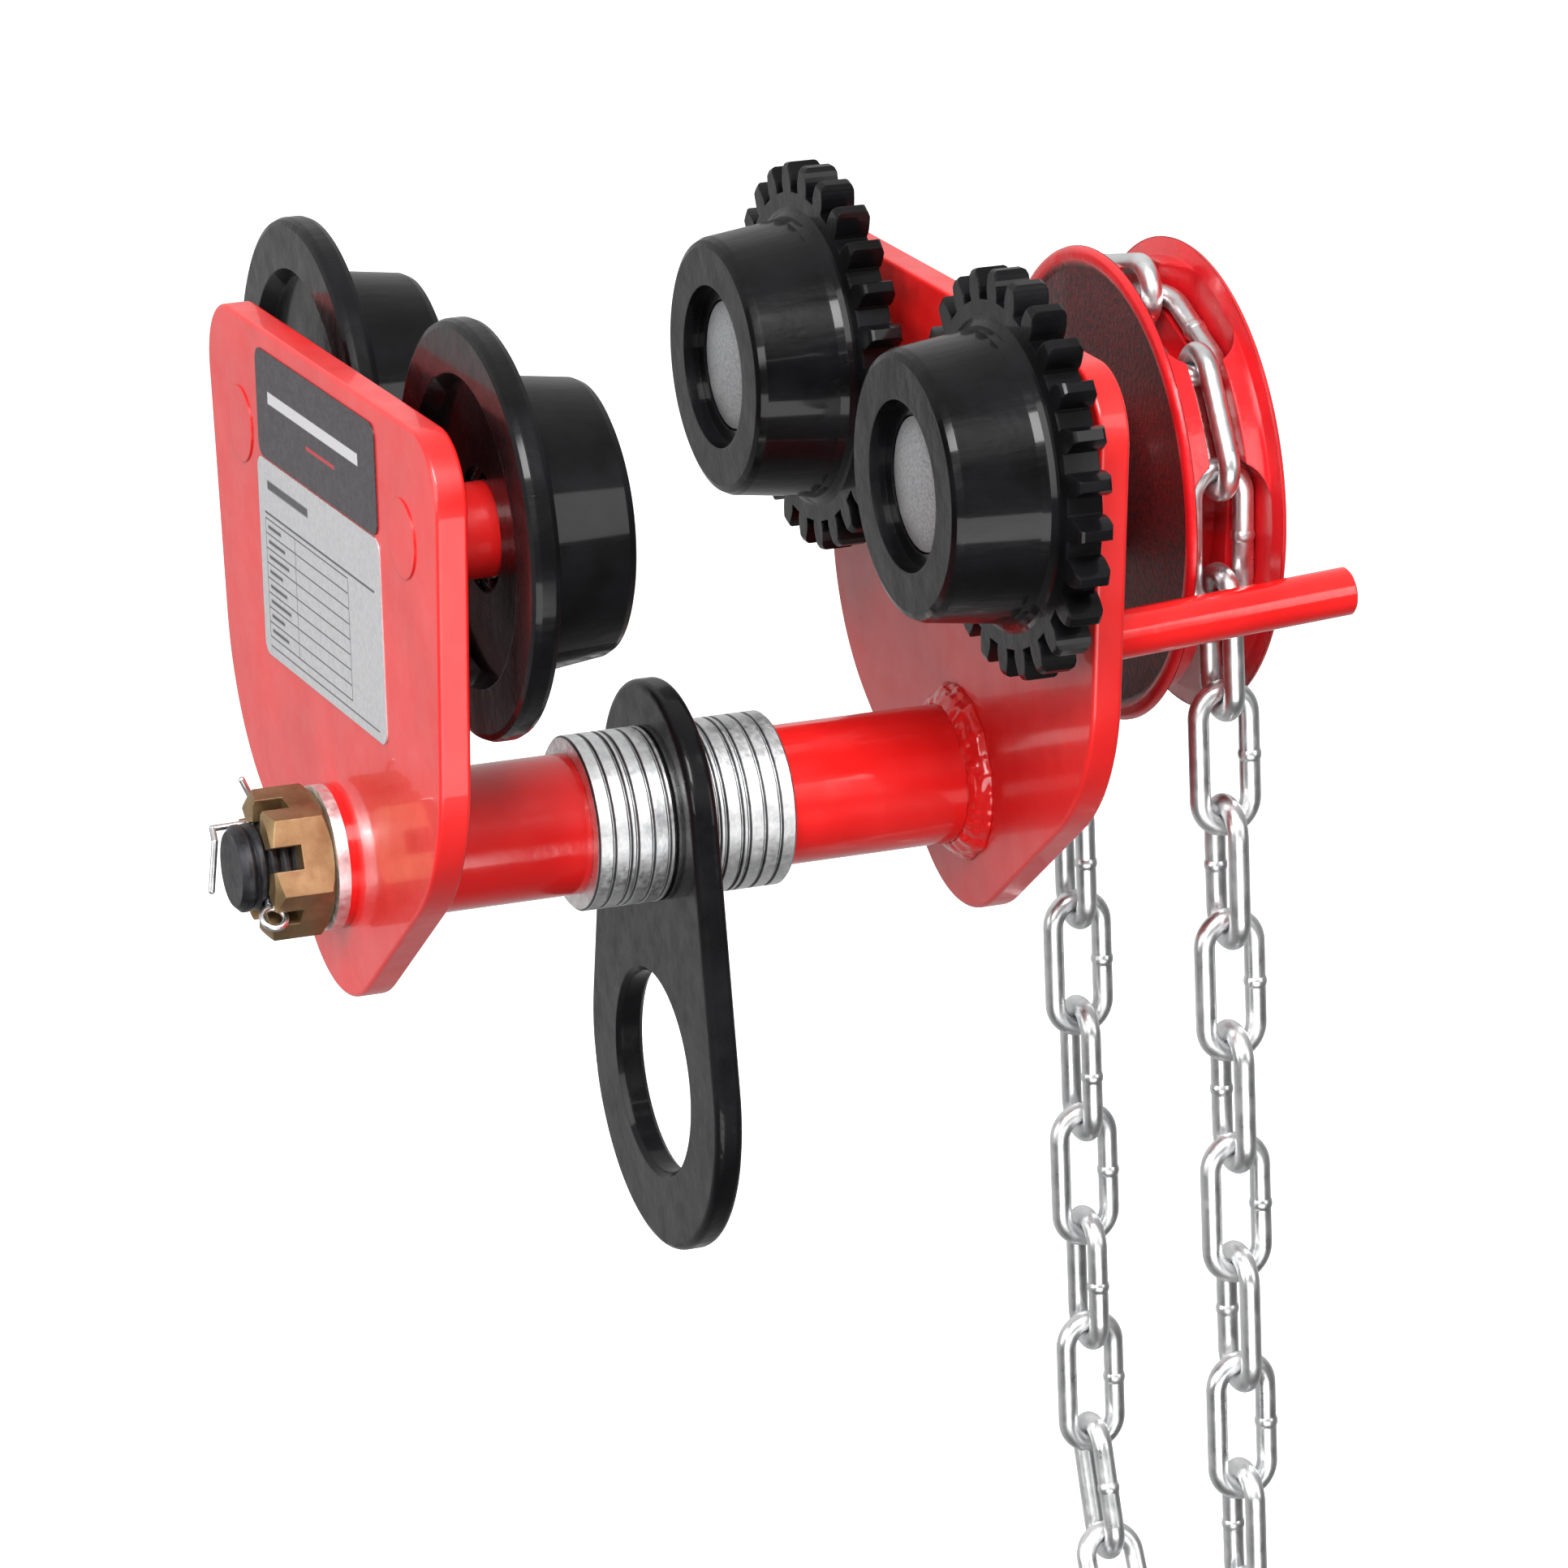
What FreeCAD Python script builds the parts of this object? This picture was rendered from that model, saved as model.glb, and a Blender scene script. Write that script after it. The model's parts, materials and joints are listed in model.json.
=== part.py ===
"""Geared beam trolley, 1 tonne class, with its hand chain and load plate.

Frame, in millimetres: the origin is the centre of the load eye, X runs along the load bolt from the
plain side to the hand wheel side, Y along the beam that the trolley runs on, and Z up.
"""
import FreeCAD, Part
import math
import os

os.makedirs("parts", exist_ok=True)

Vector = FreeCAD.Vector
X_AXIS = Vector(1, 0, 0)
Y_AXIS = Vector(0, 1, 0)
Z_AXIS = Vector(0, 0, 1)

# ---- driving dimensions ----
BOLT_Z = 57.0                # load bolt above the load eye
WHEEL_Z = BOLT_Z + 79.0      # wheel axles above the load eye
WHEEL_Y = 53.0               # half the wheel base

# side plates
PLATE_T = 6.5
LEFT_INNER = -64.0           # inner face of the left plate
RIGHT_INNER = 67.0           # inner face of the right plate
LEFT_TILT = -1.2             # how far the plain side hangs turned about the load bolt, degrees
LEFT_OUTER = LEFT_INNER - PLATE_T
RIGHT_OUTER = RIGHT_INNER + PLATE_T
PLATE_TOP_Z = BOLT_Z + 102.5
PLATE_HALF_TOP = 75.5        # half width below the top corners
PLATE_HALF_WAIST = 71.5      # half width where the sides start to bend in
PLATE_WAIST_Z = BOLT_Z + 38.0
PLATE_BEND = (68.8, BOLT_Z + 13.8)
PLATE_BEND_R = 45.0
PLATE_FOOT_R = 29.2          # the foot is round about the load bolt
PLATE_CORNER_R = 14.0
PLATE_EDGE_R = 0.8

# load bolt, nut and the spacers on it
BOLT_R = 9.0
BOLT_END_X = -92.7
HEX_AF = 27.0
HEAD_H = 11.5
TUBE_R = 14.7
TUBE_BORE_R = 10.5
TUBE_PROUD = 1.5             # how far a tube's end stands out of its plate
WELD_LEG = 4.8
HANGER_T = 6.0
ADJUST_R = 18.3              # adjusting washers
ADJUST_BORE_R = 9.3
THICK_WASHER = 3.5
THIN_WASHER = 1.5
LEFT_PACK = ("thin", "thick", "thick", "thin", "thick", "thick")
RIGHT_PACK = ("thick", "thin", "thick", "thin", "thick", "thick", "thick")
NUT_H = 13.0
NUT_SLOT_W = 5.0
NUT_SLOT_DEPTH = 6.2
NUT_TURN = 8.5               # a corner of the nut, from +Y towards +Z, degrees
END_WASHER_T = 2.5
THREAD_PITCH = 2.5
THREAD_DEPTH = 0.75
THREAD_TURNS = 11
PIN_X = -85.6                # where the split pin crosses the bolt's axis
PIN_LEAN = 0.12
PIN_WIRE_R = 0.68
PIN_HOLE_R = 1.9
PIN_NECK = 10.6
PIN_EYE_R = 2.4
END_WASHER_R = 14.9

# load plate
EYE_R = 21.5
HANGER_FOOT_R = 37.9
HANGER_TOP_R = 27.9
HANGER_EDGE_R = 1.6

# wheels: s runs along an axle from the tread's free end towards the side plate
LEFT_TREAD_X = -31.5
RIGHT_TREAD_X = 33.5
TREAD_END_R = 27.6
TREAD_ROOT_R = 29.6
TREAD_W = 20.5
FLANGE_R = 41.5
FLANGE_W = 6.0
GEAR_W = 7.5
RING_R = 32.0
MOUTH_R = 17.4
MOUTH_DEPTH = 3.4
BEARING_R = 14.0
LIP_R = 12.4
DISH_R = 31.0
DISH_DEPTH = 3.5

# wheel bearings, axles and their rings
SEAT_R = 7.5
BEARING_W = 7.0
BEARING_A = 7.0              # s where the outer bearing starts
BEARING_B = 14.5             # s where the inner bearing starts
BALL_R = 1.98
BALL_PITCH_R = 10.8
BALLS = 11
RACE_IN_R = 9.7
RACE_OUT_R = 11.9
GROOVE_R = 2.05
CIRCLIP_T = 1.2
CIRCLIP_S = BEARING_A - CIRCLIP_T
AXLE_END_S = 4.6
SHOULDER_R = 9.5
SHANK_R = 8.0
CAP_R = 13.7

# drive: module, teeth and the pinion shaft
MODULE = 3.0
GEAR_TEETH = 26
PINION_TEETH = 12
PINION_PHASE = 1.6           # direction of one pinion tooth from +Y towards +Z, degrees
ADDENDUM = 2.5
THINNING = 0.55              # taken off each tooth so that the gears turn freely
CENTRES = MODULE * (GEAR_TEETH + PINION_TEETH) / 2 - 0.35
SHAFT_Z = WHEEL_Z - math.sqrt(CENTRES ** 2 - WHEEL_Y ** 2)
PINION_X0 = 53.2
PINION_X1 = 63.2
JOURNAL_R = 9.0
BUSH_R = 12.5
BUSH_FLANGE_R = 15.5
BUSH_FLANGE_T = 2.0
BOSS_R = 17.5
BOSS_X1 = 94.5
SHAFT_SEAT_R = 8.0
SHAFT_END_X = 128.0
KEY_W = 5.0
KEY_LEN = 24.0

# hand wheel
CHAIN_X = 108.9              # middle plane of the hand wheel
RIM_R = 50.0
RIM_HALF = 11.0
RIM_ROUND = 1.5
GROOVE_HALF_RIM = 9.6
SLOT_HALF = 4.1
SLOT_R = 28.5
LUG_R = 46.2
POCKETS = 5
POCKET_HALF_W = 8.9
POCKET_HALF_L = 18.2
WEB_R = 46.6
WEB_DEPTH = 0.9
HUB_R = 15.5
HUB_X0 = 95.0
HUB_X1 = 122.5

# hand chain
WIRE_R = 2.22
LEG_OFFSET = 5.75            # leg centres either side of the link's axis
APEX = 14.75                 # link centre to the wire's centre at its end
ARC_CENTRE = APEX - LEG_OFFSET
LINK_SLACK = 1.25            # how far the next wire sits beyond an end arc's centre
LINK_PITCH = APEX + ARC_CENTRE + LINK_SLACK
CHAIN_PHASE = -5.0           # pocket angle, from -Y towards +Z, degrees
FLAT_PITCH_R = 37.5
UPRIGHT_PITCH_R = 39.3
POCKET_FLOOR_R = 34.6
LEAVING_STRAND = 38.2        # the front link that has just left its pocket
LEAVING_LEVEL = -3.3
FRONT_STRAND = 38.3
FRONT_LEVEL = -25.8          # first hanging link, from the hand wheel's axis
FRONT_LEAN = 0.4             # how far the front strand hangs out of plumb, degrees
REAR_STRAND = 40.1
REAR_LEVEL = -20.8
SIDE_LEAN = 1.5              # how far both strands hang outwards, degrees
STRAND_YAW = 0.6             # how far the two strands are turned about the upright, degrees
STRAND_SHIFT = 0.2           # how far the strands and the wheel's links sit off the middle plane
SEATED_SHIFT = 0.35
SEATED_LINKS = 5
FRONT_LINKS = 9
REAR_LINKS = 9
LOOP_LINKS = 6
LOOP_CATENARY = 19.0205
LOOP_SHIFT = 3.3346
WELD_BUMP_R = 2.5

# chain guide rods
ROD_R = 5.0
ROD_Y = 55.0
ROD_Z = 99.6
ROD_RISE = 3.6
ROD_END_X = 131.0

# labels on the left plate
LABEL_T = 0.3
UPPER_LABEL = (-38.0, 132.6, 40.0, 155.4)
RATING_LABEL = (-38.5, 90.0, 41.5, 132.2)
LABEL_CORNER_R = 3.0


# ---- helpers ----
def write(name, *solids):
    """Write one node's solids to its STEP file."""
    shape = solids[0] if len(solids) == 1 else Part.makeCompound(list(solids))
    shape.exportStep(f"parts/{name}.step")


def rod_x(radius, x0, x1, y=0.0, z=0.0):
    """A cylinder along X."""
    return Part.makeCylinder(radius, x1 - x0, Vector(x0, y, z), X_AXIS)


def tube_x(radius, bore, x0, x1, y=0.0, z=0.0):
    """A tube along X."""
    return rod_x(radius, x0, x1, y, z).cut(rod_x(bore, x0 - 1, x1 + 1, y, z))


def turned(points, y=0.0, z=0.0):
    """A solid turned about the X direction through (y, z) from (x, radius) points."""
    corners = [Vector(x, r, 0) for x, r in points]
    face = Part.Face(Part.makePolygon(corners + corners[:1]))
    solid = face.revolve(Vector(0, 0, 0), X_AXIS, 360)
    solid.translate(Vector(0, y, z))
    return solid


def box(x0, x1, y0, y1, z0, z1):
    return Part.makeBox(x1 - x0, y1 - y0, z1 - z0, Vector(x0, y0, z0))


def turn_x(shape, degrees, y=0.0, z=0.0):
    """A copy of shape turned about the X direction through (y, z), from Y towards Z."""
    copy = shape.copy()
    copy.rotate(Vector(0, y, z), X_AXIS, degrees)
    return copy


def hexagon(af, x0, x1, z, chamfer_x0=False, chamfer_x1=False):
    """A hexagon prism along X with two corners along Y, its ends chamfered where asked."""
    corner = af / math.sqrt(3)
    points = [Vector(x0, corner * math.cos(math.radians(60 * k)),
                     z + corner * math.sin(math.radians(60 * k))) for k in range(7)]
    prism = Part.Face(Part.makePolygon(points)).extrude(Vector(x1 - x0, 0, 0))
    drop = (corner - 0.48 * af) * math.tan(math.radians(30))
    left = drop if chamfer_x0 else 0.0
    right = drop if chamfer_x1 else 0.0
    profile = [(x0, 0), (x0, 0.48 * af if chamfer_x0 else corner + 1)]
    profile += [(x0 + left, corner), (x1 - right, corner)]
    profile += [(x1, 0.48 * af if chamfer_x1 else corner + 1), (x1, 0)]
    return prism.common(turned(profile, 0, z))


def fillet_corner(before, corner, after, radius):
    """The two tangent points and the arc that round a corner of a YZ outline."""
    a, c, b = [Vector(0, *p) for p in (before, corner, after)]
    to_a = (a - c).normalize()
    to_b = (b - c).normalize()
    half = to_a.getAngle(to_b) / 2
    reach = radius / math.tan(half)
    start = c + to_a * reach
    end = c + to_b * reach
    centre = c + (to_a + to_b).normalize() * (radius / math.sin(half))
    middle = centre + (c - centre).normalize() * radius
    return start, end, Part.Arc(start, middle, end).toShape()


# ---- side plates ----
def plate_outline():
    """The side plate's closed outline at X = 0: flat top, tapered sides and a round foot."""
    slope_y, slope_z = PLATE_BEND
    reach = math.hypot(slope_y, slope_z - BOLT_Z)
    tilt = math.atan2(slope_z - BOLT_Z, slope_y) - math.acos(PLATE_FOOT_R / reach)
    tangent = (PLATE_FOOT_R * math.cos(tilt), BOLT_Z + PLATE_FOOT_R * math.sin(tilt))
    top = (PLATE_HALF_TOP + 0.5, PLATE_TOP_Z)
    right = [(0.0, PLATE_TOP_Z), top, PLATE_BEND, tangent]
    edges = []
    last = Vector(0, *right[0])
    for k, radius in ((1, PLATE_CORNER_R), (2, PLATE_BEND_R)):
        start, end, arc = fillet_corner(right[k - 1], right[k], right[k + 1], radius)
        edges += [Part.LineSegment(last, start).toShape(), arc]
        last = end
    edges.append(Part.LineSegment(last, Vector(0, *tangent)).toShape())
    foot = Vector(0, 0, BOLT_Z - PLATE_FOOT_R)
    middle_tilt = (tilt - math.pi / 2) / 2
    middle = Vector(0, PLATE_FOOT_R * math.cos(middle_tilt), BOLT_Z + PLATE_FOOT_R * math.sin(middle_tilt))
    edges.append(Part.Arc(Vector(0, *tangent), middle, foot).toShape())
    half = Part.Wire(edges)
    other = half.mirror(Vector(0, 0, 0), Y_AXIS)
    return Part.Wire(Part.__sortEdges__(half.Edges + other.Edges))


def side_plate(inner, outer, holes):
    """A side plate between two X planes with (radius, y, z) holes and softened edges."""
    x0, x1 = min(inner, outer), max(inner, outer)
    face = Part.Face(plate_outline())
    plate = face.extrude(Vector(x1 - x0, 0, 0))
    plate.translate(Vector(x0, 0, 0))
    rim = [e for e in plate.Edges if abs(e.BoundBox.XLength) < 1e-6]
    plate = plate.makeFillet(PLATE_EDGE_R, rim)
    for radius, y, z in holes:
        plate = plate.cut(rod_x(radius, x0 - 1, x1 + 1, y, z))
    return plate


# ---- load bolt and what is on it ----
def load_bolt():
    """Hexagon bolt with a chamfered end, ring grooves for its thread and the split pin's cross hole."""
    head_x = RIGHT_OUTER + TUBE_PROUD + END_WASHER_T
    chamfer = 1.2
    shank = turned([(BOLT_END_X, 0), (BOLT_END_X, BOLT_R - chamfer), (BOLT_END_X + chamfer, BOLT_R),
                    (head_x + 0.5, BOLT_R), (head_x + 0.5, 0)], 0, BOLT_Z)
    for k in range(THREAD_TURNS):
        x = BOLT_END_X + 2.0 + THREAD_PITCH * k
        groove = turned([(x, BOLT_R + 0.2), (x + THREAD_PITCH / 2, BOLT_R - THREAD_DEPTH),
                         (x + THREAD_PITCH - 0.25, BOLT_R + 0.2)], 0, BOLT_Z)
        shank = shank.cut(groove)
    head = hexagon(HEX_AF, head_x, head_x + HEAD_H, BOLT_Z, chamfer_x1=True)
    way = pin_way()
    hole = Part.makeCylinder(PIN_HOLE_R, 40, Vector(PIN_X, 0, BOLT_Z) - way * 20, way)
    return shank.fuse(head).cut(hole).removeSplitter()


def castle_nut():
    """Castle nut with a slot in the middle of each flat."""
    x1 = LEFT_OUTER - TUBE_PROUD - END_WASHER_T
    nut = hexagon(HEX_AF, x1 - NUT_H, x1, BOLT_Z, chamfer_x0=True, chamfer_x1=True)
    nut = nut.cut(rod_x(BOLT_R + 0.05, x1 - NUT_H - 1, x1 + 1, 0, BOLT_Z))
    for k in range(6):
        slot = box(x1 - NUT_H - 1, x1 - NUT_H + NUT_SLOT_DEPTH, 4, 20,
                   BOLT_Z - NUT_SLOT_W / 2, BOLT_Z + NUT_SLOT_W / 2)
        nut = nut.cut(turn_x(slot, 60 * k + 30, 0, BOLT_Z))
    return turn_x(nut, NUT_TURN, 0, BOLT_Z)


def pin_way():
    """Direction of the split pin: through a slot of the nut, from its eye to its ends."""
    turn = math.radians(NUT_TURN + 30)
    return Vector(PIN_LEAN, math.cos(turn), math.sin(turn)).normalize()


def swept_wire(points, radius):
    """A round wire along straight runs, with a ball at each turn."""
    solid = None
    for start, end in zip(points, points[1:]):
        run = Part.makeCylinder(radius, (end - start).Length, start, end - start)
        piece = run.fuse(Part.makeSphere(1.03 * radius, end))
        solid = piece if solid is None else solid.fuse(piece)
    return solid


def cotter_pin():
    """Split pin: a leg with the ring eye, bent up at its end, and a leg folded over the bolt's end."""
    way = pin_way()
    centre = Vector(PIN_X, 0, BOLT_Z)
    aside = X_AXIS * (1.03 * PIN_WIRE_R)
    neck = centre - way * PIN_NECK
    eye = Part.makeTorus(PIN_EYE_R, 1.06 * PIN_WIRE_R, neck - way * PIN_EYE_R, X_AXIS.cross(way))
    far = centre + way * 12.6
    up = far + Vector(-3.2, 0.8, 7.4)
    eyed = swept_wire([neck + aside, far + aside, up + aside], PIN_WIRE_R).fuse(eye)
    fold = centre + way * 10.7 - aside
    corner = Vector(BOLT_END_X - 1.3, fold.y - 0.2, fold.z - 0.1)
    top = Vector(BOLT_END_X - 1.6, 5.7, BOLT_Z + 4.4)
    tip = Vector(BOLT_END_X - 2.9, 5.0, BOLT_Z - 5.7)
    start = neck + way * (1.2 * PIN_WIRE_R) - aside
    folded = swept_wire([start, fold, corner, top, tip], PIN_WIRE_R)
    return eyed, folded


def washer_pack(kinds, side):
    """The adjusting washers of one side, by kind, packed outwards from the load plate."""
    packs = {"thick": [], "thin": []}
    depth = HANGER_T / 2
    for kind in kinds:
        thickness = THICK_WASHER if kind == "thick" else THIN_WASHER
        near, far = depth, depth + thickness
        soft = 0.5
        profile = [(near, ADJUST_BORE_R), (near, ADJUST_R - soft), (near + soft, ADJUST_R),
                   (far - soft, ADJUST_R), (far, ADJUST_R - soft), (far, ADJUST_BORE_R)]
        packs[kind].append(turned([(side * x, r) for x, r in profile], 0, BOLT_Z))
        depth = far
    return packs, side * depth


def spacer_tube(x0, x1):
    return tube_x(TUBE_R, TUBE_BORE_R, x0, x1, 0, BOLT_Z)


def tube_weld(face_x, way):
    """A concave fillet weld round a tube, from a plate's face; way is the side it builds up on."""
    steps = 4
    profile = [(face_x, TUBE_R), (face_x, TUBE_R + WELD_LEG)]
    for k in range(steps + 1):
        angle = math.pi / 2 * k / steps
        rise = WELD_LEG * (1 - math.sin(angle))
        out = WELD_LEG * (1 - math.cos(angle))
        profile.append((face_x + way * (0.15 * WELD_LEG + 0.85 * out),
                        TUBE_R + 0.1 * WELD_LEG + 0.9 * rise))
    profile.append((face_x + way * WELD_LEG, TUBE_R))
    return turned(profile, 0, BOLT_Z)


def hanger_plate():
    """Load plate: a round foot about the eye and a narrower round top about the bolt."""
    x0 = -HANGER_T / 2
    low = rod_x(HANGER_FOOT_R, x0, -x0)
    high = rod_x(HANGER_TOP_R, x0, -x0, 0, BOLT_Z)
    lean = math.asin((HANGER_FOOT_R - HANGER_TOP_R) / BOLT_Z)
    corners = []
    for side in (1, -1):
        out = Vector(0, side * math.cos(lean), math.sin(lean))
        pair = [out * HANGER_FOOT_R, out * HANGER_TOP_R + Vector(0, 0, BOLT_Z)]
        corners += pair if side == 1 else pair[::-1]
    corners = [Vector(x0, p.y, p.z) for p in corners]
    web = Part.Face(Part.makePolygon(corners + corners[:1])).extrude(Vector(HANGER_T, 0, 0))
    plate = low.fuse([high, web]).removeSplitter()
    rim = [e for e in plate.Edges if abs(e.BoundBox.XLength) < 1e-6]
    plate = plate.makeFillet(HANGER_EDGE_R, rim)
    plate = plate.cut(rod_x(BOLT_R + 0.1, x0 - 1, 1 - x0, 0, BOLT_Z))
    eye = rod_x(EYE_R, x0 - 1, 1 - x0)
    flare = 1.0
    ring = turned([(x0 - 1, 0), (x0 - 1, EYE_R + flare), (x0, EYE_R + flare), (x0 + flare, EYE_R),
                   (-x0 - flare, EYE_R), (-x0, EYE_R + flare), (1 - x0, EYE_R + flare), (1 - x0, 0)])
    return plate.cut(eye).cut(ring)


# ---- gears ----
def involute_tooth(teeth, thickness_loss):
    """Half-angle of a tooth at each radius from root to tip, as (radius, angle) pairs."""
    pitch_r = MODULE * teeth / 2
    base_r = pitch_r * math.cos(math.radians(20))
    tip_r = pitch_r + ADDENDUM
    root_r = pitch_r - 1.25 * MODULE
    half_at_pitch = (math.pi * MODULE / 2 - thickness_loss) / 2 / pitch_r
    roll = math.tan(math.radians(20)) - math.radians(20)
    start_r = max(base_r, root_r)
    flank = []
    steps = 5
    for k in range(steps + 1):
        r = start_r + (tip_r - start_r) * k / steps
        pressure = math.acos(base_r / r)
        flank.append((r, half_at_pitch + roll - (math.tan(pressure) - pressure)))
    if root_r < start_r:
        flank.insert(0, (root_r, flank[0][1] * 0.92))
    return flank


def toothed_disc(teeth, x0, x1, y, z, phase, thickness_loss):
    """A spur gear's solid disc with its teeth, one tooth pointing at phase degrees."""
    flank = involute_tooth(teeth, thickness_loss)
    points = []
    for k in range(teeth):
        middle = math.radians(phase + 360 * k / teeth)
        for r, half in flank:
            points.append((r, middle - half))
        for r, half in reversed(flank):
            points.append((r, middle + half))
    corners = [Vector(x0, y + r * math.cos(a), z + r * math.sin(a)) for r, a in points]
    return Part.Face(Part.makePolygon(corners + corners[:1])).extrude(Vector(x1 - x0, 0, 0))


def gear_phase(y):
    """Where a wheel's tooth points so that it meshes with the pinion at rest, degrees."""
    line = math.degrees(math.atan2(WHEEL_Z - SHAFT_Z, y))
    ahead = (PINION_PHASE - line) * PINION_TEETH / GEAR_TEETH
    return line + 180 - ahead + 180 / GEAR_TEETH


# ---- wheels on their axles ----
def along(side, start):
    """The map from s, counted from a tread's free end, to X."""
    return lambda s: start + side * s


def wheel_profile(width, rim):
    """The turned profile of a wheel as (s, radius); rim adds the points of its flange or ring."""
    points = [(0.0, MOUTH_R), (0.0, TREAD_END_R - 2.0), (0.6, TREAD_END_R - 0.7), (2.0, TREAD_END_R)]
    points += [(TREAD_W - 3.0, TREAD_ROOT_R), (TREAD_W - 1.2, TREAD_ROOT_R + 0.5)]
    points += [(TREAD_W - 0.3, TREAD_ROOT_R + 1.6), (TREAD_W, RING_R)]
    points += rim
    points += [(width, DISH_R), (width - DISH_DEPTH, DISH_R - 1.8), (width - DISH_DEPTH, LIP_R)]
    points += [(BEARING_B + BEARING_W, LIP_R), (BEARING_B + BEARING_W, BEARING_R)]
    points += [(BEARING_A, BEARING_R), (BEARING_A, BEARING_R + 0.7)]
    points += [(CIRCLIP_S, BEARING_R + 0.7), (CIRCLIP_S, BEARING_R)]
    points += [(MOUTH_DEPTH, BEARING_R), (MOUTH_DEPTH, MOUTH_R)]
    return points


def plain_wheel(y):
    """A flanged wheel of the left side."""
    at = along(-1, LEFT_TREAD_X)
    width = TREAD_W + FLANGE_W
    soft = 1.6
    rim = [(TREAD_W, FLANGE_R - soft), (TREAD_W + 0.3 * soft, FLANGE_R - 0.3 * soft)]
    rim += [(TREAD_W + soft, FLANGE_R), (width - soft, FLANGE_R)]
    rim += [(width - 0.3 * soft, FLANGE_R - 0.3 * soft), (width, FLANGE_R - soft)]
    return turned([(at(s), r) for s, r in wheel_profile(width, rim)], y, WHEEL_Z)


def geared_wheel(y):
    """A wheel of the right side, whose flange is a spur gear."""
    at = along(1, RIGHT_TREAD_X)
    width = TREAD_W + GEAR_W
    root = MODULE * GEAR_TEETH / 2 - 1.25 * MODULE - 0.4
    rim = [(TREAD_W, root), (width, root)]
    body = turned([(at(s), r) for s, r in wheel_profile(width, rim)], y, WHEEL_Z)
    tip = MODULE * GEAR_TEETH / 2 + ADDENDUM
    soft = 1.2
    gear = toothed_disc(GEAR_TEETH, at(TREAD_W), at(width), y, WHEEL_Z, gear_phase(y), THINNING)
    blank = turned([(at(TREAD_W), root - 3), (at(TREAD_W), tip - soft),
                    (at(TREAD_W + 0.35 * soft), tip - 0.3), (at(TREAD_W + soft), tip + 0.1),
                    (at(width - soft), tip + 0.1),
                    (at(width - 0.35 * soft), tip - 0.3), (at(width), tip - soft), (at(width), root - 3)],
                   y, WHEEL_Z)
    return body.fuse(gear.common(blank)).removeSplitter()


def outer_bearings(at, y):
    """The turning part of a wheel's two ball bearings, with the ring between them."""
    solids = []
    for start in (BEARING_A, BEARING_B):
        middle = start + BEARING_W / 2
        race = turned([(at(start), BEARING_R), (at(start), RACE_OUT_R), (at(start + BEARING_W), RACE_OUT_R),
                       (at(start + BEARING_W), BEARING_R)], y, WHEEL_Z)
        groove = Part.makeTorus(BALL_PITCH_R, GROOVE_R, Vector(at(middle), y, WHEEL_Z), X_AXIS)
        solids.append(race.cut(groove))
        for k in range(BALLS):
            angle = 2 * math.pi * k / BALLS
            solids.append(Part.makeSphere(BALL_R, Vector(at(middle), y + BALL_PITCH_R * math.cos(angle),
                                                         WHEEL_Z + BALL_PITCH_R * math.sin(angle))))
    solids.append(turned([(at(BEARING_A + BEARING_W), BEARING_R), (at(BEARING_A + BEARING_W), LIP_R),
                          (at(BEARING_B), LIP_R), (at(BEARING_B), BEARING_R)], y, WHEEL_Z))
    return solids


def inner_bearings(at, y):
    """The still part of a wheel's two ball bearings, with the sleeve between them."""
    solids = []
    for start in (BEARING_A, BEARING_B):
        middle = start + BEARING_W / 2
        race = turned([(at(start), SEAT_R), (at(start), RACE_IN_R), (at(start + BEARING_W), RACE_IN_R),
                       (at(start + BEARING_W), SEAT_R)], y, WHEEL_Z)
        groove = Part.makeTorus(BALL_PITCH_R, GROOVE_R, Vector(at(middle), y, WHEEL_Z), X_AXIS)
        solids.append(race.cut(groove))
    sleeve_r = RACE_IN_R - 0.7
    solids.append(turned([(at(BEARING_A + BEARING_W), SEAT_R), (at(BEARING_A + BEARING_W), sleeve_r),
                          (at(BEARING_B), sleeve_r), (at(BEARING_B), SEAT_R)], y, WHEEL_Z))
    return solids


def axle_pin(at, y, plate_inner, plate_outer):
    """A stepped axle: bearing seat with a ring groove, shoulder, and shank through the plate."""
    seat = SEAT_R - 0.01
    groove = SEAT_R - 0.5
    shoulder_s = BEARING_B + BEARING_W
    proud = 0.3 if plate_outer > 0 else -0.3
    points = [(at(AXLE_END_S), 0), (at(AXLE_END_S), seat - 0.6), (at(AXLE_END_S + 0.6), seat),
              (at(CIRCLIP_S), seat), (at(CIRCLIP_S), groove), (at(BEARING_A), groove), (at(BEARING_A), seat),
              (at(shoulder_s), seat), (at(shoulder_s), SHOULDER_R), (plate_inner, SHOULDER_R),
              (plate_inner, SHANK_R), (plate_outer + proud, SHANK_R), (plate_outer + proud, 0)]
    return turned(points, y, WHEEL_Z)


def bore_circlip(at, y):
    """The ring that keeps the bearings in the wheel, open at the bottom."""
    ring = turned([(at(CIRCLIP_S), BEARING_R + 0.65), (at(CIRCLIP_S), BEARING_R - 1.5),
                   (at(BEARING_A), BEARING_R - 1.5), (at(BEARING_A), BEARING_R + 0.65)], y, WHEEL_Z)
    x0, x1 = sorted((at(CIRCLIP_S - 1), at(BEARING_A + 1)))
    return ring.cut(box(x0, x1, y - 2.5, y + 2.5, WHEEL_Z - 20, WHEEL_Z))


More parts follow.
